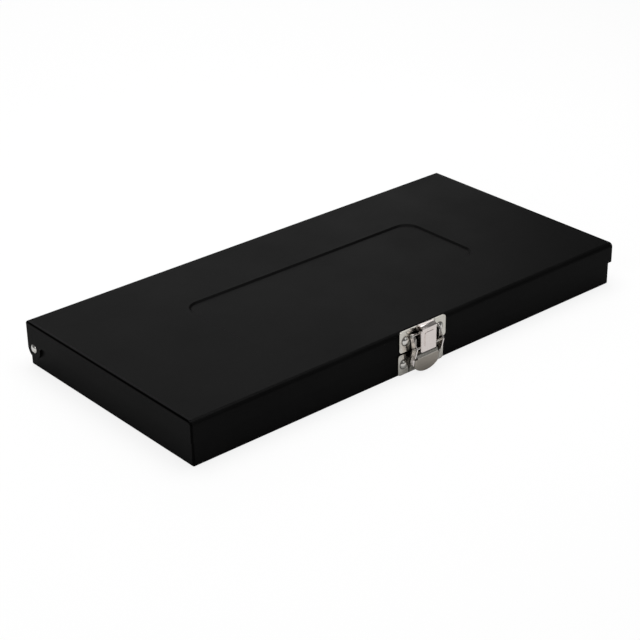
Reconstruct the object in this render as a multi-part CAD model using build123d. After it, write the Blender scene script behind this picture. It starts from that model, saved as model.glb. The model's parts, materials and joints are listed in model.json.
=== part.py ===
from build123d import *
import math
import os

# Flat socket organizer case: a folded sheet-steel tray, a lid that turns on two end rivets,
# sheet-metal dividers inside, and an over-centre draw latch on the front.
# Millimetres. +X along the length, -Y towards the latch, +Z up, origin at the centre of the underside.

# Case
LID_LENGTH = 375.0
LID_DEPTH = 178.0
CASE_HEIGHT = 31.8
SHEET = 0.7
LID_FLANGE = 14.6
FRONT_BEND = 3.2
END_BEND = 1.2
FLOOR_BEND = 0.9
TRAY_HEM = 4.0
LID_HEM = 5.0
REAR_INSET = 0.2
SWEEP_GAP = 0.1
RIM_GAP = 0.7
SWING_GAP = 0.1

# Recessed panel in the lid
PANEL_LENGTH = 205.0
PANEL_WIDTH = 71.5
PANEL_CORNER = 11.0
PANEL_DEPTH = 1.1
PANEL_SLOPE = 52.0
PANEL_SHIFT_X = 3.5
PANEL_SHIFT_Y = 1.0

# End pivots of the lid
PIVOT_BACK = 7.0
PIVOT_HEIGHT = 14.0
EAR_RADIUS = 7.0
EAR_BLEND = 5.0
PIVOT_SHANK = 1.8
PIVOT_HEAD = 3.0
PIVOT_DOME = 1.15
PIVOT_TAIL = 2.8
PIVOT_TAIL_HEIGHT = 1.1
WASHER_RADIUS = 5.0
RUNNING_GAP = 0.06
FACE_GAP = 0.08

# Organizer rails and handle rests
LANE_WIDTHS = (36.0, 32.0, 28.0)
RAIL_SHEET = 0.8
RAIL_HEIGHT = 15.0
RAIL_FOOT = 7.0
RAIL_BEND = 1.6
RAIL_END_GAP = 0.4
REST_HEIGHT = 17.0
REST_SPREAD = 190.0
REST_SIDE_GAP = 0.4
REST_CORNER = 3.0
HANDLE_NOTCH = 26.0
BAR_NOTCH = 15.0
NOTCH_FLOOR = 5.0
NOTCH_SPACING = 36.0

# Latch plates
PLATE = 0.9
PLATE_CORNER = 2.0
KEEPER_WIDTH = 41.2
KEEPER_RISE = 1.0
KEEPER_EDGE = 0.4
KEEPER_WINDOW = 22.0
KEEPER_BRIDGE = 2.8
BASE_PLATE_WIDTH = 40.2
BASE_PLATE_FOOT = 0.3
BASE_PLATE_TOP_GAP = 2.0
RIVET_SPREAD = 30.0
RIVET_SHANK = 1.5
RIVET_HEAD = 3.05
RIVET_DOME = 1.3
KEEPER_TAIL = 2.4
KEEPER_TAIL_HEIGHT = 0.25
BASE_TAIL = 2.6
BASE_TAIL_HEIGHT = 0.9

# Lever and claw, measured outward from the lid's front face and up from the underside
LEVER_PIVOT_OUT = 2.9
LEVER_PIVOT_DROP = 3.4
CLAW_PIVOT_STEP = 2.4
CLAW_PIVOT_DROP = 9.4
PIN_RADIUS = 0.8
PIN_HEAD = 1.4
PIN_DOME = 0.4
LEVER_SHEET = 0.9
ARM_OUTSIDE = 12.2
ARM_TIP_RADIUS = 1.5
ARM_KNEE_ROUND = 0.8
EAR_PLATE_GAP = 0.2
EAR_TIP_RADIUS = 1.3
EAR_BROW_OUT = 5.6
EAR_BROW_DROPS = (1.6, 6.4, 8.1)
TAB_CORNER = 3.2
TAB_DEPTH = 3.4
TAB_ROUND = 9.8
TAB_TIP_HEIGHT = 0.4
TAB_TIP_OUT = 4.5
TAB_CREASE_OUT = 6.2
TAB_CREASE_DROP = 16.4
TAB_CREASE_BEND = 1.2
TAB_LIP_OUT = 4.6
TAB_LIP_RISE = 2.8
TAB_LIP_HALF_WIDTH = 9.3
TAB_NOTCH_DROP = 0.8
CLAW_WIDTH = 14.0
CLAW_SHEET = 0.9
CLAW_CORNER = 1.4
CLAW_FLANGE = 3.2
CLAW_FACE_OUT = 7.3
CLAW_HEAD_RISE = 1.2
CLAW_CAP_DROP = 1.6
CLAW_CAP_INSET = 0.7
CLAW_FOOT_DROP = 12.2
CLAW_BACK_RISE = 2.7
CLAW_HEAD_BEND = 1.4
HOOK_RADIUS = 1.8
HOOK_GAP = 0.35
HOOK_TURN = 200.0
EMBOSS_LENGTH = 10.5
EMBOSS_WIDTH = 8.4
EMBOSS_CORNER = 1.6
EMBOSS_RISE = 0.35

# Corners of an arm's side outline, as steps outward and down from the lever's pivot
ARM_FRONT_CORNERS = ((3.0, 3.8), (5.5, 7.9), (3.7, 15.2), (1.7, 17.2))
ARM_BACK_CORNERS = ((-0.3, 18.1), (1.4, 8.3))

# Places that follow from the sizes above
FRONT = -LID_DEPTH / 2
REAR = LID_DEPTH / 2
LID_END = LID_LENGTH / 2
FLANGE_BOTTOM = CASE_HEIGHT - LID_FLANGE
PIVOT_Y = REAR - PIVOT_BACK
SWEEP_RADIUS = CASE_HEIGHT - 2 * SHEET - SWEEP_GAP - PIVOT_HEIGHT
RIM = CASE_HEIGHT - SHEET - RIM_GAP
RIM_OVER_PIVOT = RIM - PIVOT_HEIGHT
SWING_RADIUS = LID_DEPTH - PIVOT_BACK - SHEET
FLANGE_OVER_PIVOT = max(FLANGE_BOTTOM - PIVOT_HEIGHT, 0.0)
LID_GAP = (RIM_OVER_PIVOT**2 - FLANGE_OVER_PIVOT**2) / (2 * SWING_RADIUS) + SWING_GAP
TRAY_END = LID_END - SHEET - LID_GAP
TRAY_FRONT = FRONT + SHEET + LID_GAP
TRAY_REAR = REAR - REAR_INSET
TRAY_INNER_END = TRAY_END - SHEET
TRAY_INNER_FRONT = TRAY_FRONT + SHEET
TRAY_INNER_REAR = TRAY_REAR - SHEET
TRAY_INSET = SHEET + LID_GAP

KEEPER_TOP = CASE_HEIGHT + KEEPER_RISE
KEEPER_BOTTOM = FLANGE_BOTTOM + KEEPER_EDGE
BASE_PLATE_TOP = FLANGE_BOTTOM - BASE_PLATE_TOP_GAP
LEVER_PIVOT = (LEVER_PIVOT_OUT, CASE_HEIGHT - LEVER_PIVOT_DROP)
CLAW_PIVOT = (LEVER_PIVOT_OUT + CLAW_PIVOT_STEP, LEVER_PIVOT[1] - CLAW_PIVOT_DROP)
ARM_INSIDE = ARM_OUTSIDE - LEVER_SHEET
EAR_OUTSIDE = ARM_INSIDE - EAR_PLATE_GAP
EAR_INSIDE = EAR_OUTSIDE - PLATE
CREASE_HEIGHT = LEVER_PIVOT[1] - TAB_CREASE_DROP

# Side-on plane of the latch: its x runs outward from the lid's front face and its y runs up.
LATCH = Plane(origin=(0, FRONT, 0), x_dir=(0, -1, 0), z_dir=(-1, 0, 0))


def block(low, high):
    """A box between two opposite corners."""
    size = [h - l for l, h in zip(low, high)]
    centre = [(l + h) / 2 for l, h in zip(low, high)]
    return Pos(*centre) * Box(*size)


def side_plates(sketch, inside, outside):
    """The same side-on outline as a plate at each side of the latch."""
    right = extrude(LATCH.offset(-outside) * sketch, outside - inside)
    left = extrude(LATCH.offset(inside) * sketch, outside - inside)
    return right + left


def sheet_section(line, thickness, side):
    """The cut face of a sheet bent along a line."""
    return make_face(line.offset_2d(thickness, side=side, closed=True))


def channel(low, high, half_width, corner, depth, sheet):
    """A sheet that runs up the side-on plane between two points, with both long sides bent back."""
    out_step = high[0] - low[0]
    up_step = high[1] - low[1]
    start = Plane((0, FRONT - low[0], low[1]), x_dir=(1, 0, 0), z_dir=(0, -out_step, up_step))
    outside = Pos(0, depth / 2) * Rectangle(2 * half_width, depth)
    outside = fillet(outside.vertices().group_by(Axis.Y)[0], corner)
    inside = Pos(0, sheet + depth / 2) * Rectangle(2 * (half_width - sheet), depth)
    inside = fillet(inside.vertices().group_by(Axis.Y)[0], corner - sheet)
    return extrude(start * (outside - inside), math.hypot(out_step, up_step))


def cross_rod(point, radius, half_length):
    """A round rod along X through a point of the side-on plane."""
    return extrude(LATCH * Pos(*point) * Circle(radius), half_length, both=True)


def dome(radius, height):
    """A low spherical cap standing on the XY plane."""
    ball = (radius**2 + height**2) / (2 * height)
    cap = Pos(0, 0, height - ball) * Rot(90, 0, 0) * Sphere(ball)
    return cap & block((-ball, -ball, 0), (ball, ball, ball))


def rivet(head, dome_height, shank, grip, tail, tail_height):
    """A domed rivet along Z: its head stands on z = 0 and its shank reaches down through the grip."""
    body = dome(head, dome_height)
    body += Pos(0, 0, -grip / 2) * Cylinder(shank, grip)
    body += Pos(0, 0, -grip - tail_height / 2) * Cylinder(tail, tail_height)
    return body


def case_profile(inset, front, rear, bottom, top, bend):
    """Side-on section of the lid: top and front joined by the front bend."""
    corners = [(rear, bottom), (front + inset, bottom), (front + inset, top - inset), (rear, top - inset)]
    face = make_face(Polyline(*corners, close=True))
    corner = face.vertices().sort_by_distance((front + inset, top - inset))[0]
    return fillet(corner, bend)


def lid_form(inset, rear, bottom):
    """Folded form of the lid's outside, or of its inside when inset by the sheet."""
    section = Plane.YZ * case_profile(inset, FRONT, rear, bottom, CASE_HEIGHT, FRONT_BEND - inset)
    return extrude(section, LID_END - inset, both=True)


def pivot_ears():
    """The lid's end flanges drop to a rounded ear at each pivot."""
    pivot = Pos(PIVOT_Y, PIVOT_HEIGHT)
    outline = pivot * Circle(EAR_RADIUS)
    top = FLANGE_BOTTOM + SHEET
    strap = Pos(PIVOT_Y, (PIVOT_HEIGHT + top) / 2) * Rectangle(2 * EAR_RADIUS, top - PIVOT_HEIGHT)
    blend = min(EAR_BLEND, FLANGE_BOTTOM - PIVOT_HEIGHT)
    front = PIVOT_Y - EAR_RADIUS
    outline += strap + Pos(front - EAR_BLEND / 2, (FLANGE_BOTTOM + top) / 2) * Rectangle(EAR_BLEND, SHEET)
    if blend > RUNNING_GAP:
        web = Pos(front - blend / 2, FLANGE_BOTTOM - blend / 2) * Rectangle(blend, blend)
        outline += web - Pos(front - blend, FLANGE_BOTTOM - blend) * Circle(blend)
    right = extrude(Plane.YZ.offset(LID_END - SHEET) * outline, SHEET)
    return right + mirror(right, Plane.YZ)


def recess(length, width, corner, top, depth):
    """A rounded rectangular well with sloping walls, hanging down from a height."""
    spot = Plane((PANEL_SHIFT_X, PANEL_SHIFT_Y, top))
    return extrude(spot * RectangleRounded(length, width, corner), -depth, taper=PANEL_SLOPE)


def keeper_rivet_places():
    """Centres of the two keeper rivets on the lid's front face."""
    height = (KEEPER_TOP + KEEPER_BOTTOM) / 2
    return [(side * RIVET_SPREAD / 2, height) for side in (-1, 1)]


def base_rivet_places():
    """Centres of the two rivets of the latch's base plate on the tray's front face."""
    height = (BASE_PLATE_TOP + BASE_PLATE_FOOT) / 2
    return [(side * RIVET_SPREAD / 2, height) for side in (-1, 1)]


def front_holes(places, radius, near, far):
    """Round holes through a front wall between two depths."""
    holes = Part()
    for x, z in places:
        holes += Pos(x, (near + far) / 2, z) * Rot(90, 0, 0) * Cylinder(radius, abs(far - near))
    return holes


def lid_shell():
    """Lid: top with a sunk panel, front and end flanges, ears at the pivots and a hemmed rear edge."""
    form = lid_form(0, REAR, FLANGE_BOTTOM)
    ends = form.faces().sort_by(Axis.X)
    folds = [edge for end in (ends[0], ends[-1]) for edge in end.edges()
             if edge.center().Z > FLANGE_BOTTOM + SHEET and edge.center().Y < REAR - SHEET]
    shell = fillet(folds, END_BEND)
    under_length = PANEL_LENGTH + SHEET
    under_width = PANEL_WIDTH + SHEET
    shell -= lid_form(SHEET, REAR + SHEET, FLANGE_BOTTOM - SHEET)
    shell += recess(under_length, under_width, PANEL_CORNER, CASE_HEIGHT - SHEET, PANEL_DEPTH)
    shell -= recess(PANEL_LENGTH, PANEL_WIDTH, PANEL_CORNER, CASE_HEIGHT, PANEL_DEPTH)
    hem_top = CASE_HEIGHT - SHEET
    shell += block((-LID_END + SHEET, REAR - LID_HEM, hem_top - SHEET), (LID_END - SHEET, REAR, hem_top))
    shell += pivot_ears()
    shell -= Pos(0, PIVOT_Y, PIVOT_HEIGHT) * Rot(0, 90, 0) * Cylinder(PIVOT_SHANK + RUNNING_GAP, LID_LENGTH + SHEET)
    shell -= front_holes(keeper_rivet_places(), RIVET_SHANK, FRONT - SHEET, FRONT + 2 * SHEET)
    return shell


def tray_form(inset, bottom, top):
    """Square form of the tray's outside, or of its inside when inset by the sheet."""
    return block((-TRAY_END + inset, TRAY_FRONT + inset, bottom), (TRAY_END - inset, TRAY_REAR - inset, top))


def base_tray():
    """Tray: floor and four walls with bent corners and an inward hem round the rim."""
    form = tray_form(0, 0, RIM)
    form = fillet(form.edges().filter_by(Axis.Z), END_BEND)
    tray = fillet(form.faces().sort_by(Axis.Z)[0].edges(), FLOOR_BEND)
    tray -= tray_form(SHEET, SHEET, RIM + SHEET)
    band = block((-TRAY_INNER_END, TRAY_INNER_FRONT, RIM - TRAY_HEM), (TRAY_INNER_END, TRAY_INNER_REAR, RIM))
    band -= block((-TRAY_INNER_END + SHEET, TRAY_INNER_FRONT + SHEET, RIM - TRAY_HEM - SHEET),
                  (TRAY_INNER_END - SHEET, TRAY_INNER_REAR - SHEET, RIM + SHEET))
    tray += band
    hem_front = REAR - LID_HEM - SWEEP_GAP
    sweep = block((-LID_END, hem_front, PIVOT_HEIGHT), (LID_END, REAR + SHEET, CASE_HEIGHT))
    sweep -= Pos(0, PIVOT_Y, PIVOT_HEIGHT) * Rot(0, 90, 0) * Cylinder(SWEEP_RADIUS, LID_LENGTH + SHEET)
    tray -= sweep
    tray -= Pos(0, PIVOT_Y, PIVOT_HEIGHT) * Rot(0, 90, 0) * Cylinder(PIVOT_SHANK, LID_LENGTH)
    tray -= front_holes(base_rivet_places(), RIVET_SHANK, TRAY_FRONT - SHEET, TRAY_FRONT + 2 * SHEET)
    return tray


def pivot_rivet(side):
    """End pivot: dome outside the lid's ear, clenched inside the tray's end wall."""
    grip = FACE_GAP + SHEET + LID_GAP + SHEET
    body = rivet(PIVOT_HEAD, PIVOT_DOME, PIVOT_SHANK, grip, PIVOT_TAIL, PIVOT_TAIL_HEIGHT)
    return Pos(side * (LID_END + FACE_GAP), PIVOT_Y, PIVOT_HEIGHT) * Rot(0, side * 90, 0) * body


def pivot_washer(side):
    """Spacer washer between the lid's ear and the tray's end wall."""
    thickness = LID_GAP - FACE_GAP
    ring = Cylinder(WASHER_RADIUS, thickness) - Cylinder(PIVOT_SHANK, thickness)
    return Pos(side * (TRAY_END + thickness / 2), PIVOT_Y, PIVOT_HEIGHT) * Rot(0, 90, 0) * ring


def lane_line(index):
    """Front face of the rail behind a lane."""
    return TRAY_INNER_FRONT + sum(LANE_WIDTHS[: index + 1]) + index * RAIL_SHEET


def organizer_rail(index):
    """Lengthwise divider: an upright strip on a bent foot, with a folded top edge."""
    y = lane_line(index)
    line = FilletPolyline((y + RAIL_FOOT, SHEET), (y, SHEET), (y, SHEET + RAIL_HEIGHT), radius=RAIL_BEND)
    section = sheet_section(line, RAIL_SHEET, Side.RIGHT)
    bead = Pos(y + RAIL_SHEET, SHEET + RAIL_HEIGHT) * Circle(RAIL_SHEET)
    half = TRAY_INNER_END - RAIL_END_GAP
    return extrude(Plane.YZ * (section + bead), half, both=True)


def notch(centre, width):
    """A round-bottomed notch open at the top of a rest."""
    floor = SHEET + NOTCH_FLOOR
    radius = width / 2
    slot = Pos(centre, floor + radius) * Circle(radius)
    rest_top = SHEET + REST_HEIGHT
    if rest_top > floor + radius:
        slot += Pos(centre, (floor + radius + rest_top + 1) / 2) * Rectangle(width, rest_top + 1 - floor - radius)
    return slot


def handle_rest(side):
    """Cross rest behind the rails: an upright plate with a wide and a narrow round-bottomed notch."""
    low = lane_line(len(LANE_WIDTHS) - 1) + 2 * RAIL_SHEET + REST_SIDE_GAP
    high = TRAY_INNER_REAR - SHEET - REST_SIDE_GAP
    outline = Pos((low + high) / 2, SHEET + REST_HEIGHT / 2) * Rectangle(high - low, REST_HEIGHT)
    top = outline.vertices().group_by(Axis.Y)[-1]
    outline = fillet(top, REST_CORNER)
    middle = (low + high + RAIL_FOOT) / 2
    outline -= notch(middle + NOTCH_SPACING / 2, HANDLE_NOTCH)
    outline -= notch(middle - NOTCH_SPACING / 2, BAR_NOTCH)
    x = side * REST_SPREAD / 2
    plate = extrude(Plane.YZ.offset(x - RAIL_SHEET / 2) * outline, RAIL_SHEET)
    foot_low = low + RAIL_FOOT + REST_SIDE_GAP
    inner = x - side * RAIL_SHEET / 2
    outer = x + side * RAIL_FOOT
    foot = block((min(inner, outer), foot_low, SHEET), (max(inner, outer), high, SHEET + RAIL_SHEET))
    clear = block((x - RAIL_FOOT, low - 1, SHEET), (x + RAIL_FOOT, foot_low, SHEET + RAIL_SHEET + REST_SIDE_GAP))
    return plate - clear + foot


def front_plate(width, bottom, top, back, places):
    """A flat latch plate with rounded corners and two rivet holes, standing on a front face."""
    outline = Pos(0, (bottom + top) / 2) * RectangleRounded(width, top - bottom, PLATE_CORNER)
    for x, z in places:
        outline -= Pos(x, z) * Circle(RIVET_SHANK)
    return extrude(Plane((0, back, 0), x_dir=(1, 0, 0), z_dir=(0, -1, 0)) * outline, PLATE)


def keeper_plate():
    """Keeper: two riveted ears joined by a bridge whose top edge stands above the lid as the catch."""
    plate = front_plate(KEEPER_WIDTH, KEEPER_BOTTOM, KEEPER_TOP, FRONT, keeper_rivet_places())
    window_top = KEEPER_TOP - KEEPER_BRIDGE
    window = Pos(0, (KEEPER_BOTTOM + window_top) / 2 - PLATE_CORNER) * RectangleRounded(
        KEEPER_WINDOW, window_top - KEEPER_BOTTOM + 2 * PLATE_CORNER, PLATE_CORNER)
    cut = extrude(Plane((0, FRONT + SHEET, 0), x_dir=(1, 0, 0), z_dir=(0, -1, 0)) * window, PLATE + 2 * SHEET)
    return plate - cut


def latch_base_plate():
    """Base plate of the latch: a riveted plate with two tall ears that carry the lever's pin."""
    plate = front_plate(BASE_PLATE_WIDTH, BASE_PLATE_FOOT, BASE_PLATE_TOP, TRAY_FRONT, base_rivet_places())
    root = -TRAY_INSET
    pivot_out, pivot_up = LEVER_PIVOT
    inner = pivot_out - EAR_TIP_RADIUS
    outer = pivot_out + EAR_TIP_RADIUS
    neck = FLANGE_BOTTOM - BASE_PLATE_TOP_GAP / 4
    brow_top, brow_foot, throat = [pivot_up - drop for drop in EAR_BROW_DROPS]
    back = [(root, BASE_PLATE_FOOT + PLATE_CORNER), (root, BASE_PLATE_TOP), (inner, neck), (inner, pivot_up)]
    brow = [(pivot_out, pivot_up + EAR_TIP_RADIUS), (EAR_BROW_OUT, brow_top), (EAR_BROW_OUT, brow_foot)]
    front = [(outer, throat), (outer, BASE_PLATE_TOP), (root + PLATE, BASE_PLATE_FOOT + PLATE_CORNER)]
    web = make_face(Polyline(*back, *brow, *front, close=True))
    ear = web + Pos(*LEVER_PIVOT) * Circle(EAR_TIP_RADIUS)
    plate += side_plates(ear, EAR_INSIDE, EAR_OUTSIDE)
    return plate - cross_rod(LEVER_PIVOT, PIN_RADIUS, ARM_OUTSIDE)


def front_rivet(place, face, grip, tail, tail_height):
    """A domed rivet through a latch plate and the wall behind it."""
    x, z = place
    body = rivet(RIVET_HEAD, RIVET_DOME, RIVET_SHANK, grip, tail, tail_height)
    return Pos(x, face, z) * Rot(90, 0, 0) * body


def keeper_rivet(index):
    """Rivet of the keeper, clenched nearly flush inside the lid's front flange."""
    return front_rivet(keeper_rivet_places()[index], FRONT - PLATE, PLATE + SHEET, KEEPER_TAIL, KEEPER_TAIL_HEIGHT)


def latch_rivet(index):
    """Rivet of the base plate, clenched inside the tray's front wall."""
    return front_rivet(base_rivet_places()[index], TRAY_FRONT - PLATE, PLATE + SHEET, BASE_TAIL, BASE_TAIL_HEIGHT)


def lever_pin():
    """Headed cross pin of the lever: its heads lie outside the arms."""
    half = ARM_OUTSIDE + FACE_GAP
    rod = cross_rod(LEVER_PIVOT, PIN_RADIUS, half)
    for side in (-1, 1):
        rod += Pos(side * half, FRONT - LEVER_PIVOT[0], LEVER_PIVOT[1]) * Rot(0, side * 90, 0) * dome(PIN_HEAD, PIN_DOME)
    return rod


def claw_pin():
    """Cross pin of the claw, flush with the lever's arms."""
    return cross_rod(CLAW_PIVOT, PIN_RADIUS, ARM_OUTSIDE)


def thumb_tab():
    """Half-round scoop whose sides bend back, with a creased lip between the arms."""
    tip = (TAB_TIP_OUT, TAB_TIP_HEIGHT)
    crease = (TAB_CREASE_OUT, CREASE_HEIGHT)
    lip = (TAB_LIP_OUT, CREASE_HEIGHT + TAB_LIP_RISE)
    slope = (TAB_CREASE_OUT - TAB_TIP_OUT) / (CREASE_HEIGHT - TAB_TIP_HEIGHT)
    notch_foot = (TAB_CREASE_OUT - TAB_NOTCH_DROP * slope, CREASE_HEIGHT - TAB_NOTCH_DROP)
    scoop = channel(tip, notch_foot, ARM_OUTSIDE, TAB_CORNER, TAB_DEPTH, LEVER_SHEET)
    centre = TAB_TIP_HEIGHT + TAB_ROUND
    outline = Pos(0, centre) * Ellipse(ARM_OUTSIDE, TAB_ROUND)
    outline += Pos(0, centre + TAB_ROUND / 2) * Rectangle(2 * ARM_OUTSIDE, TAB_ROUND)
    scoop &= extrude(Plane((0, FRONT, 0), x_dir=(1, 0, 0), z_dir=(0, -1, 0)) * outline, TAB_CREASE_OUT + 1)
    strip = sheet_section(FilletPolyline(notch_foot, crease, lip, radius=TAB_CREASE_BEND), LEVER_SHEET, Side.LEFT)
    return scoop + extrude(LATCH * strip, TAB_LIP_HALF_WIDTH, both=True)


def arm_outline():
    """Side-on outline of an arm: a narrow round tip, a pointed knee in front and a heel that meets the tab."""
    out, up = LEVER_PIVOT
    tip = [(out, up + ARM_TIP_RADIUS), (out + ARM_TIP_RADIUS, up)]
    front = [(out + step, up - drop) for step, drop in ARM_FRONT_CORNERS]
    back = [(out + step, up - drop) for step, drop in ARM_BACK_CORNERS]
    arm = make_face(Polyline(*tip, *front, *back, (out - ARM_TIP_RADIUS, up), close=True))
    arm = fillet(arm.vertices().sort_by(Axis.X)[-1], ARM_KNEE_ROUND)
    return arm + Pos(out, up) * Circle(ARM_TIP_RADIUS)


def latch_lever():
    """Lever: the thumb tab and two arms that rise past the claw to the lever's pin."""
    lever = thumb_tab() + side_plates(arm_outline(), ARM_INSIDE, ARM_OUTSIDE)
    lever -= cross_rod(LEVER_PIVOT, PIN_RADIUS + RUNNING_GAP, ARM_OUTSIDE + 1)
    return lever - cross_rod(CLAW_PIVOT, PIN_RADIUS, ARM_OUTSIDE + 1)


def claw_cap():
    """Section of the claw's top: the face's head bends back over the keeper and curls down as a hook."""
    head = (CLAW_FACE_OUT, CASE_HEIGHT + CLAW_HEAD_RISE)
    crest_up = CASE_HEIGHT + CLAW_BACK_RISE
    back = (PLATE + HOOK_GAP + HOOK_RADIUS, crest_up)
    crest = ((CLAW_FACE_OUT + back[0]) / 2, crest_up)
    cap = FilletPolyline((CLAW_FACE_OUT, head[1] - CLAW_CAP_DROP), head, crest, back, radius=CLAW_HEAD_BEND)
    curl = JernArc(start=back, tangent=(-1, 0), radius=HOOK_RADIUS, arc_size=HOOK_TURN)
    return sheet_section(Wire([*cap.edges(), curl]), CLAW_SHEET, Side.LEFT)


def latch_claw():
    """Claw: an embossed face with bent flanges that turn on the claw pin, and a curled hook on top."""
    foot_up = LEVER_PIVOT[1] - CLAW_FOOT_DROP
    head_up = CASE_HEIGHT + CLAW_HEAD_RISE
    foot = (CLAW_FACE_OUT, foot_up)
    shoulder = (CLAW_FACE_OUT, head_up - CLAW_CAP_DROP)
    claw = channel(foot, shoulder, CLAW_WIDTH / 2, CLAW_CORNER, CLAW_FLANGE, CLAW_SHEET)
    claw += extrude(LATCH * claw_cap(), CLAW_WIDTH / 2 - CLAW_CAP_INSET, both=True)
    face = Plane((0, FRONT - CLAW_FACE_OUT, (foot_up + head_up) / 2), x_dir=(1, 0, 0), z_dir=(0, -1, 0))
    badge = face.offset(-CLAW_SHEET / 2) * RectangleRounded(EMBOSS_WIDTH, EMBOSS_LENGTH, EMBOSS_CORNER)
    claw += extrude(badge, CLAW_SHEET / 2 + EMBOSS_RISE)
    return claw - cross_rod(CLAW_PIVOT, PIN_RADIUS + RUNNING_GAP, CLAW_WIDTH)


def pieces():
    """Every separate piece of the case by name."""
    made = {
        "base_tray": base_tray(),
        "lid_shell": lid_shell(),
        "keeper_plate": keeper_plate(),
        "latch_base_plate": latch_base_plate(),
        "latch_lever": latch_lever(),
        "latch_claw": latch_claw(),
        "lever_pin": lever_pin(),
        "claw_pin": claw_pin(),
    }
    for index in range(len(LANE_WIDTHS)):
        made[f"organizer_rail_{index + 1}"] = organizer_rail(index)
    for index, side in enumerate((-1, 1)):
        name = ("left", "right")[index]
        made[f"pivot_rivet_{name}"] = pivot_rivet(side)
        made[f"pivot_washer_{name}"] = pivot_washer(side)
        made[f"handle_rest_{name}"] = handle_rest(side)
        made[f"keeper_rivet_{name}"] = keeper_rivet(index)
        made[f"latch_rivet_{name}"] = latch_rivet(index)
    return made


os.makedirs("parts", exist_ok=True)
for name, solid in pieces().items():
    solid.label = name
    export_step(solid, f"parts/{name}.step")
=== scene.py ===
import json
import math

import bpy
from mathutils import Matrix, Vector


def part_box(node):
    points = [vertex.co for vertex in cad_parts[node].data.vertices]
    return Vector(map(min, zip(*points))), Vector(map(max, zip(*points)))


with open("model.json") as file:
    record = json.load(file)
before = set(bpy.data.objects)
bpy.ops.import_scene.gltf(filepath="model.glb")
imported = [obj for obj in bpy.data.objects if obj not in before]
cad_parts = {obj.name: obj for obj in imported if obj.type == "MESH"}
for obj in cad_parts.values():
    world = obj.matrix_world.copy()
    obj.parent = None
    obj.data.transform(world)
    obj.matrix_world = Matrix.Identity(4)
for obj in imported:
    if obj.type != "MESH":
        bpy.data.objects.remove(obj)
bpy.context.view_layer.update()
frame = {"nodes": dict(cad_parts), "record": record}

# Metres, in the frame of the part: +X along the length, -Y towards the latch, +Z up.
LID_LOW, LID_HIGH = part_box("lid_shell")
TRAY_LOW, TRAY_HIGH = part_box("base_tray")
DEPTH = LID_HIGH.y - LID_LOW.y
HEIGHT = LID_HIGH.z

# The camera of the photograph, with distances as shares of the lid's depth.
AZIMUTH = math.radians(-40.513)
ELEVATION = math.radians(27.043)
ROLL = math.radians(-0.884)
CAMERA_DISTANCE = 6.6893 * DEPTH
TARGET = Vector((-0.1367 * DEPTH, -0.0902 * DEPTH, HEIGHT / 2))
LENS_MM = 99.867
SENSOR_MM = 36.0

CLIP_NEAR = 0.01
CLIP_FAR = 50

# Lamps: name, place, aim, width and height, power.
LAMPS = (
    ("overhead", (0.1, 0.1, 1.3), (0, 0, 0), (1.4, 1.0), 12.5),
    ("left", (-1.3, -0.3, 0.7), (0, 0, 0), (0.9, 0.9), 4.0),
    ("back", (0.52, 1.0, 0.60), (-0.1, 0, 0), (1.05, 0.62), 1.85),
    ("front", (0.5, -1.5, 0.9), (0, 0, 0), (1.0, 0.8), 1.5),
)
WORLD_LIGHT = 0.12
WORLD_SEEN = 1.0
FLOOR_HALF = 6.0
FLOOR_DROP = 0.0002
FLOOR_GLOW = 1.1
FLOOR_GLOW_SHARE = 0.75

# Powder coat, and how far the painted shade line along its bends reaches from a folded corner.
BLACK = (0.0034, 0.0034, 0.0034, 1.0)
BLACK_WORN = (0.0046, 0.0046, 0.0046, 1.0)
BLACK_BEND_SHADE = (0.0005, 0.0005, 0.0005, 1.0)
BLACK_SPECULAR = 0.03
BEND_REACH = 0.0025
CORNER_REACH = BEND_REACH * 0.6
BEND_FADE = 0.75
FLANGE_FOOT = 0.0172

# Plated metals, and the colours of the painted reflection, highlights and shade on the latch.
NICKEL = (0.76, 0.74, 0.69, 1.0)
RIVET = (0.80, 0.79, 0.76, 1.0)
ZINC = (0.55, 0.56, 0.57, 1.0)
# Painted light on the latch: a warm reflection on the claw, highlights on the arms and shade on the thumb tab.
CLAW_PAINTED_REFLECTION = (0.84, 0.77, 0.74, 1.0)
TAB_PAINTED_SHADE = (0.36, 0.33, 0.29, 1.0)
ARM_PAINTED_HIGHLIGHT = (0.95, 0.89, 0.86, 1.0)
# Colour of the painted shade on the latch plates.
PAINTED_SHADE_DARK = (0.035, 0.03, 0.025, 1.0)

# Where the latch's painted shade, highlights and reflection change: half widths from its middle, heights, and reach
# outward from the lid's front.
STEP = 0.0001
PLATE_FRONT = 0.0009
PIECES_FRONT = 0.0013
CLAW_HALF = 0.007
CLAW_FOOT = 0.0158
ARM_INSIDE = 0.01122
EAR_INSIDE = 0.0100
EAR_MIDDLE = 0.0112
EAR_FOOT = 0.0144
EAR_SHADE_REACH = (0.0031, 0.0048)
EAR_SHADE = (0.0225, 0.0185)
LIP_BOTTOM = (0.0136, 0.0142)
LIP_TOP = (0.0158, 0.0156)
LIP_HALF = 0.0095
LIP_FRONT = 0.003
TAB_TOP = 0.0124
TAB_FRONT = (0.0021, 0.0023)
TAB_EDGE = 0.0104
RIVET_RING = 1.16
PLATE_RIVETS = ("keeper_rivet_left", "keeper_rivet_right", "latch_rivet_left", "latch_rivet_right")
SHEET_PIECES = ("keeper_plate", "latch_base_plate", "latch_lever", "latch_claw")
EDGE_ROUND = 0.00016
WELD_REACH = 0.000002
EDGE_ANGLE = math.radians(40)


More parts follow.
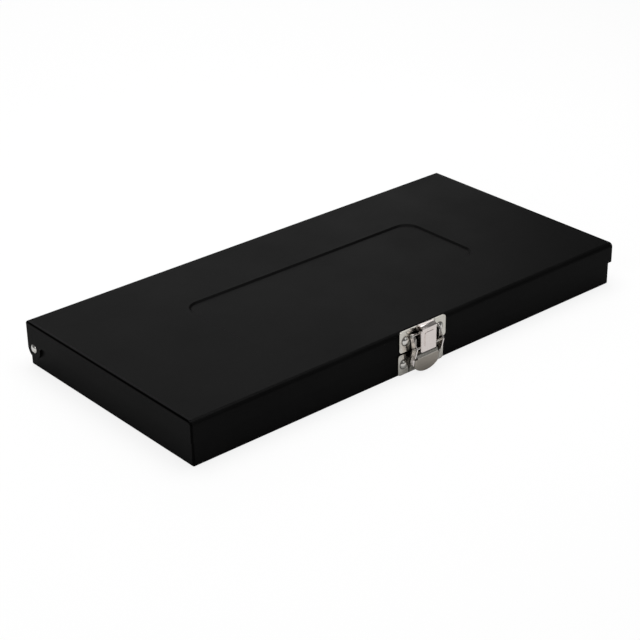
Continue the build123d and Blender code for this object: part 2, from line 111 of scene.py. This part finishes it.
def add_camera():
    """The camera at the photograph's place, direction and roll."""
    back = Vector((math.sin(AZIMUTH) * math.cos(ELEVATION), -math.cos(AZIMUTH) * math.cos(ELEVATION),
                   math.sin(ELEVATION)))
    right = Vector((0, 0, 1)).cross(back).normalized()
    up = back.cross(right)
    right, up = (right * math.cos(ROLL) + up * math.sin(ROLL), up * math.cos(ROLL) - right * math.sin(ROLL))
    data = bpy.data.cameras.new("camera")
    data.lens = LENS_MM
    data.sensor_width = SENSOR_MM
    data.sensor_fit = "HORIZONTAL"
    data.clip_start = CLIP_NEAR
    data.clip_end = CLIP_FAR
    camera = bpy.data.objects.new("camera", data)
    place = TARGET + back * CAMERA_DISTANCE
    camera.matrix_world = Matrix((
        (right.x, up.x, back.x, place.x), (right.y, up.y, back.y, place.y), (right.z, up.z, back.z, place.z),
        (0, 0, 0, 1)))
    bpy.context.scene.collection.objects.link(camera)
    bpy.context.scene.camera = camera


class Shader:
    """A node material under construction."""

    def __init__(self, name):
        self.material = bpy.data.materials.new(name)
        self.material.use_nodes = True
        self.tree = self.material.node_tree
        self.tree.nodes.clear()
        self.output = self.node("ShaderNodeOutputMaterial")

    def node(self, kind, **settings):
        made = self.tree.nodes.new(kind)
        for key, value in settings.items():
            setattr(made, key, value)
        return made

    def link(self, source, target):
        self.tree.links.new(source, target)

    def feed(self, target, value):
        if isinstance(value, bpy.types.NodeSocket):
            self.link(value, target)
        elif value is not None:
            target.default_value = value

    def coordinates(self):
        return self.node("ShaderNodeTexCoord").outputs["Object"]

    def split(self, vector):
        made = self.node("ShaderNodeSeparateXYZ")
        self.link(vector, made.inputs[0])
        return made.outputs

    def noise(self, vector, scale, detail=4.0, roughness=0.55, stretch=None):
        if stretch:
            mapping = self.node("ShaderNodeMapping")
            mapping.inputs["Scale"].default_value = stretch
            self.link(vector, mapping.inputs["Vector"])
            vector = mapping.outputs["Vector"]
        texture = self.node("ShaderNodeTexNoise")
        texture.inputs["Scale"].default_value = scale
        texture.inputs["Detail"].default_value = detail
        texture.inputs["Roughness"].default_value = roughness
        self.link(vector, texture.inputs["Vector"])
        return texture.outputs["Fac"]

    def ellipse(self, first, second, middle_first, middle_second, reach_first, reach_second):
        """Distance from a centre, 1 on an ellipse of the given half axes."""
        u = self.maths("DIVIDE", self.maths("SUBTRACT", first, middle_first), reach_first)
        v = self.maths("DIVIDE", self.maths("SUBTRACT", second, middle_second), reach_second)
        return self.maths("SQRT", self.maths("ADD", self.times(u, u), self.times(v, v)))

    def remap(self, value, low, high, to_low=0.0, to_high=1.0):
        made = self.node("ShaderNodeMapRange")
        self.link(value, made.inputs["Value"])
        for key, number in (("From Min", low), ("From Max", high), ("To Min", to_low), ("To Max", to_high)):
            made.inputs[key].default_value = number
        return made.outputs["Result"]

    def maths(self, operation, first, second=None):
        made = self.node("ShaderNodeMath", operation=operation)
        self.feed(made.inputs[0], first)
        self.feed(made.inputs[1], second)
        return made.outputs[0]

    def times(self, first, *others):
        """The product of several values."""
        for other in others:
            first = self.maths("MULTIPLY", first, other)
        return first

    def mix(self, factor, first, second):
        made = self.node("ShaderNodeMix", data_type="RGBA")
        self.feed(made.inputs["Factor"], factor)
        self.feed(made.inputs[6], first)
        self.feed(made.inputs[7], second)
        return made.outputs[2]

    def bump(self, height, distance, strength=1.0, normal=None):
        made = self.node("ShaderNodeBump")
        made.inputs["Strength"].default_value = strength
        made.inputs["Distance"].default_value = distance
        self.link(height, made.inputs["Height"])
        if normal:
            self.link(normal, made.inputs["Normal"])
        return made.outputs["Normal"]

    def principled(self, **values):
        made = self.node("ShaderNodeBsdfPrincipled")
        for key, value in values.items():
            self.feed(made.inputs[key.replace("_", " ")], value)
        self.link(made.outputs["BSDF"], self.output.inputs["Surface"])
        return made


def black_coat():
    """Satin black powder coat: fine orange peel, faint cloudy wear, glossier on end and corner bends, with a
    painted shade line darkening those bends.
    """
    s = Shader("black_coat")
    place = s.coordinates()
    along, across, up = s.split(place)
    cloud = s.noise(place, 22.0, 5.0)
    grain = s.noise(place, 1500.0, 3.0)
    peel = s.noise(place, 420.0, 2.0)
    side = s.maths("ABSOLUTE", along)
    lid_end = s.maths("SUBTRACT", LID_HIGH.x, side)
    tray_end = s.maths("SUBTRACT", TRAY_HIGH.x, side)
    top_fold = s.maths("ADD", lid_end, s.maths("SUBTRACT", LID_HIGH.z, up))
    front_fold = s.maths("ADD", lid_end, s.maths("SUBTRACT", across, LID_LOW.y))
    tray_fold = s.maths("ADD", tray_end, s.maths("SUBTRACT", across, TRAY_LOW.y))
    below_flange = s.remap(up, FLANGE_FOOT, FLANGE_FOOT - 0.0002)
    top_bend = s.remap(top_fold, BEND_REACH, BEND_REACH * BEND_FADE)
    front_bend = s.remap(front_fold, CORNER_REACH, CORNER_REACH * BEND_FADE)
    tray_bend = s.times(s.remap(tray_fold, CORNER_REACH, CORNER_REACH * BEND_FADE), below_flange)
    bend_shade_and_gloss = s.maths("MAXIMUM", s.maths("MAXIMUM", top_bend, front_bend), tray_bend)
    shade = s.mix(s.remap(cloud, 0.35, 0.65), BLACK, BLACK_WORN)
    # Painted shade: the coat is darkened along the end and corner bends, which are also made glossier.
    colour = s.mix(bend_shade_and_gloss, shade, BLACK_BEND_SHADE)
    rough = s.remap(s.maths("ADD", cloud, s.times(grain, 0.3)), 0.4, 0.95, 0.34, 0.46)
    rough = s.times(rough, s.remap(bend_shade_and_gloss, 0.0, 1.0, 1.0, 0.3))
    first = s.bump(peel, 0.00003, 0.4)
    normal = s.bump(grain, 0.000015, 0.5, first)
    s.principled(Base_Color=colour, Roughness=rough, Specular_IOR_Level=BLACK_SPECULAR, Normal=normal)
    return s.material


def latch_painted_shade(s, place, cloud):
    """Painted shade on the latch: dark patches behind the ears, a painted shadow crescent at each rivet's upper
    left and a painted shadow under the claw's foot.
    """
    along, across, up = s.split(place)
    side = s.maths("ABSOLUTE", along)
    outward = s.maths("SUBTRACT", LID_LOW.y, across)
    on_plate = s.remap(outward, PLATE_FRONT * 1.4, PLATE_FRONT * 1.2)
    wander = s.times(s.maths("SUBTRACT", cloud, 0.5), 0.3)
    ear_shade_patch = s.ellipse(side, up, EAR_MIDDLE, EAR_FOOT, *EAR_SHADE_REACH)
    painted_shade = s.remap(s.maths("ADD", ear_shade_patch, wander), 1.15, 0.55)
    # Painted shadow: a dark disc set up and left of each rivet, showing as a crescent beside its head.
    for name in PLATE_RIVETS:
        low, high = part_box(name)
        centre = (low + high) / 2
        reach = (high.x - low.x) / 2
        radius = RIVET_RING * reach
        rivet_shadow = s.ellipse(along, up, centre.x - 0.12 * reach, centre.z + 0.10 * reach, radius, radius)
        painted_shade = s.maths("MAXIMUM", painted_shade, s.times(s.remap(rivet_shadow, 1.1, 0.96), 0.85))
    painted_shade = s.times(painted_shade, on_plate)
    # Painted shade on the ears' band beside the arms.
    ear_band_shade = s.times(
        s.remap(side, ARM_INSIDE, ARM_INSIDE - STEP), s.remap(side, EAR_INSIDE, EAR_INSIDE + STEP),
        s.remap(up, *EAR_SHADE, 0.35, 0.9))
    # Painted shadow under the claw's foot.
    claw_foot_shadow = s.times(
        s.remap(up, *LIP_BOTTOM), s.remap(up, *LIP_TOP), s.remap(outward, LIP_FRONT, LIP_FRONT + STEP),
        s.remap(side, LIP_HALF, LIP_HALF - STEP), 0.9)
    return s.maths("MAXIMUM", s.maths("MAXIMUM", painted_shade, ear_band_shade), claw_foot_shadow)


def latch_painted_light(s, place, colour):
    """The moving pieces' painted light: a painted warm reflection on the claw face, painted highlights on the arms
    and painted shade on the thumb tab.
    """
    along, across, up = s.split(place)
    side = s.maths("ABSOLUTE", along)
    outward = s.maths("SUBTRACT", LID_LOW.y, across)
    off_plate = s.remap(outward, PIECES_FRONT, PIECES_FRONT + STEP)
    claw_reflection = s.times(s.remap(side, CLAW_HALF * 1.04, CLAW_HALF * 1.02), s.remap(up, CLAW_FOOT, CLAW_FOOT + 2 * STEP))
    arm_highlight = s.remap(side, ARM_INSIDE, ARM_INSIDE + STEP)
    tab_shade = s.times(
        s.remap(up, TAB_TOP, TAB_TOP * 0.94), s.remap(outward, *TAB_FRONT), s.remap(side, ARM_INSIDE, TAB_EDGE))
    colour = s.mix(s.times(claw_reflection, off_plate), colour, CLAW_PAINTED_REFLECTION)
    colour = s.mix(s.times(arm_highlight, off_plate), colour, ARM_PAINTED_HIGHLIGHT)
    return s.mix(tab_shade, colour, TAB_PAINTED_SHADE)


def plated(name, tint, rough_low, rough_high, scratch, paint_latch_light=False):
    """Plated steel: tumbled micro scratches and cloudy plating; on the latch, painted shade behind the ears, beside
    the rivets and under the claw, a painted reflection on the claw face, painted highlights on the arms and painted
    shade on the thumb tab.
    """
    s = Shader(name)
    place = s.coordinates()
    cloud = s.noise(place, 160.0, 4.0)
    fine = s.noise(place, 3200.0, 3.0)
    brushed = s.noise(place, 900.0, 3.0, 0.6, (1.0, 1.0, 0.08))
    dark = (tint[0] * 0.86, tint[1] * 0.85, tint[2] * 0.82, 1.0)
    colour = s.mix(s.remap(cloud, 0.35, 0.7), tint, dark)
    if paint_latch_light:
        # Painted shade on the plates: behind the ears, beside the rivets and under the claw's foot.
        colour = s.mix(latch_painted_shade(s, place, cloud), colour, PAINTED_SHADE_DARK)
        # Painted reflection on the claw, painted highlights on the arms and painted shade on the thumb tab.
        colour = latch_painted_light(s, place, colour)
    rough = s.remap(s.maths("ADD", cloud, s.times(brushed, 0.6)), 0.5, 1.1, rough_low, rough_high)
    normal = s.bump(brushed, 0.00002 * scratch, 0.4)
    normal = s.bump(fine, 0.000006, 0.3, normal)
    s.principled(Base_Color=colour, Metallic=1.0, Roughness=rough, Normal=normal)
    return s.material


def dress(node, material):
    """Gives a CAD node its material in every slot."""
    mesh = frame["nodes"][node].data
    if not mesh.materials:
        mesh.materials.append(material)
    for index in range(len(mesh.materials)):
        mesh.materials[index] = material


def soften(node, width):
    """Rounds the punched edges of a CAD node with modifiers alone."""
    piece = frame["nodes"][node]
    weld = piece.modifiers.new("weld", "WELD")
    weld.merge_threshold = WELD_REACH
    bevel = piece.modifiers.new("edges", "BEVEL")
    bevel.width = width
    bevel.segments = 2
    bevel.limit_method = "ANGLE"
    bevel.angle_limit = EDGE_ANGLE
    bevel.harden_normals = False


def floor_material():
    """Pale floor that shows white to the camera and keeps the contact shadow."""
    s = Shader("floor")
    place = s.coordinates()
    tone = s.remap(s.noise(place, 3.0, 3.0), 0.3, 0.7, 0.86, 0.88)
    colour = s.node("ShaderNodeCombineColor")
    for channel in ("Red", "Green", "Blue"):
        s.link(tone, colour.inputs[channel])
    diffuse = s.node("ShaderNodeBsdfDiffuse")
    s.link(colour.outputs["Color"], diffuse.inputs["Color"])
    glow = s.node("ShaderNodeEmission")
    glow.inputs["Color"].default_value = (1, 1, 1, 1)
    glow.inputs["Strength"].default_value = FLOOR_GLOW
    path = s.node("ShaderNodeLightPath")
    seen = s.times(path.outputs["Is Camera Ray"], FLOOR_GLOW_SHARE)
    blend = s.node("ShaderNodeMixShader")
    s.link(seen, blend.inputs[0])
    s.link(diffuse.outputs[0], blend.inputs[1])
    s.link(glow.outputs[0], blend.inputs[2])
    s.link(blend.outputs[0], s.output.inputs["Surface"])
    return s.material


def add_floor():
    """One wide plane under the part."""
    half = FLOOR_HALF
    mesh = bpy.data.meshes.new("floor")
    mesh.from_pydata([(-half, -half, 0), (half, -half, 0), (half, half, 0), (-half, half, 0)], [], [(0, 1, 2, 3)])
    floor = bpy.data.objects.new("floor", mesh)
    floor.location.z = -FLOOR_DROP
    mesh.materials.append(floor_material())
    bpy.context.scene.collection.objects.link(floor)


def add_world():
    """White to the camera, soft grey light for everything else."""
    world = bpy.data.worlds.new("world")
    world.use_nodes = True
    tree = world.node_tree
    tree.nodes.clear()
    out = tree.nodes.new("ShaderNodeOutputWorld")
    light = tree.nodes.new("ShaderNodeBackground")
    light.inputs["Color"].default_value = (1, 1, 1, 1)
    light.inputs["Strength"].default_value = WORLD_LIGHT
    seen = tree.nodes.new("ShaderNodeBackground")
    seen.inputs["Color"].default_value = (1, 1, 1, 1)
    seen.inputs["Strength"].default_value = WORLD_SEEN
    path = tree.nodes.new("ShaderNodeLightPath")
    blend = tree.nodes.new("ShaderNodeMixShader")
    tree.links.new(path.outputs["Is Camera Ray"], blend.inputs[0])
    tree.links.new(light.outputs[0], blend.inputs[1])
    tree.links.new(seen.outputs[0], blend.inputs[2])
    tree.links.new(blend.outputs[0], out.inputs["Surface"])
    bpy.context.scene.world = world


def area_light(name, place, aim, size, power):
    """A soft rectangular lamp that points at a spot."""
    data = bpy.data.lights.new(name, "AREA")
    data.shape = "RECTANGLE"
    data.size, data.size_y = size
    data.energy = power
    lamp = bpy.data.objects.new(name, data)
    lamp.location = place
    lamp.rotation_euler = (Vector(aim) - Vector(place)).to_track_quat("-Z", "Y").to_euler()
    bpy.context.scene.collection.objects.link(lamp)


add_camera()
add_world()
add_floor()
for lamp in LAMPS:
    area_light(*lamp)

MATERIALS = {
    "black_coat": black_coat(),
    # The latch's nickel gets painted shade, painted highlights and a painted reflection.
    "nickel_plate": plated("nickel_plate", NICKEL, 0.16, 0.28, 1.0, paint_latch_light=True),
    "bright_rivet": plated("bright_rivet", RIVET, 0.10, 0.2, 0.4),
    "zinc_washer": plated("zinc_washer", ZINC, 0.3, 0.45, 1.0),
}
for entry in frame["record"]["subparts"]:
    dress(entry["node"], MATERIALS[entry["material_slot"]])
for node in SHEET_PIECES:
    soften(node, EDGE_ROUND)

bpy.context.scene.view_settings.view_transform = "Standard"
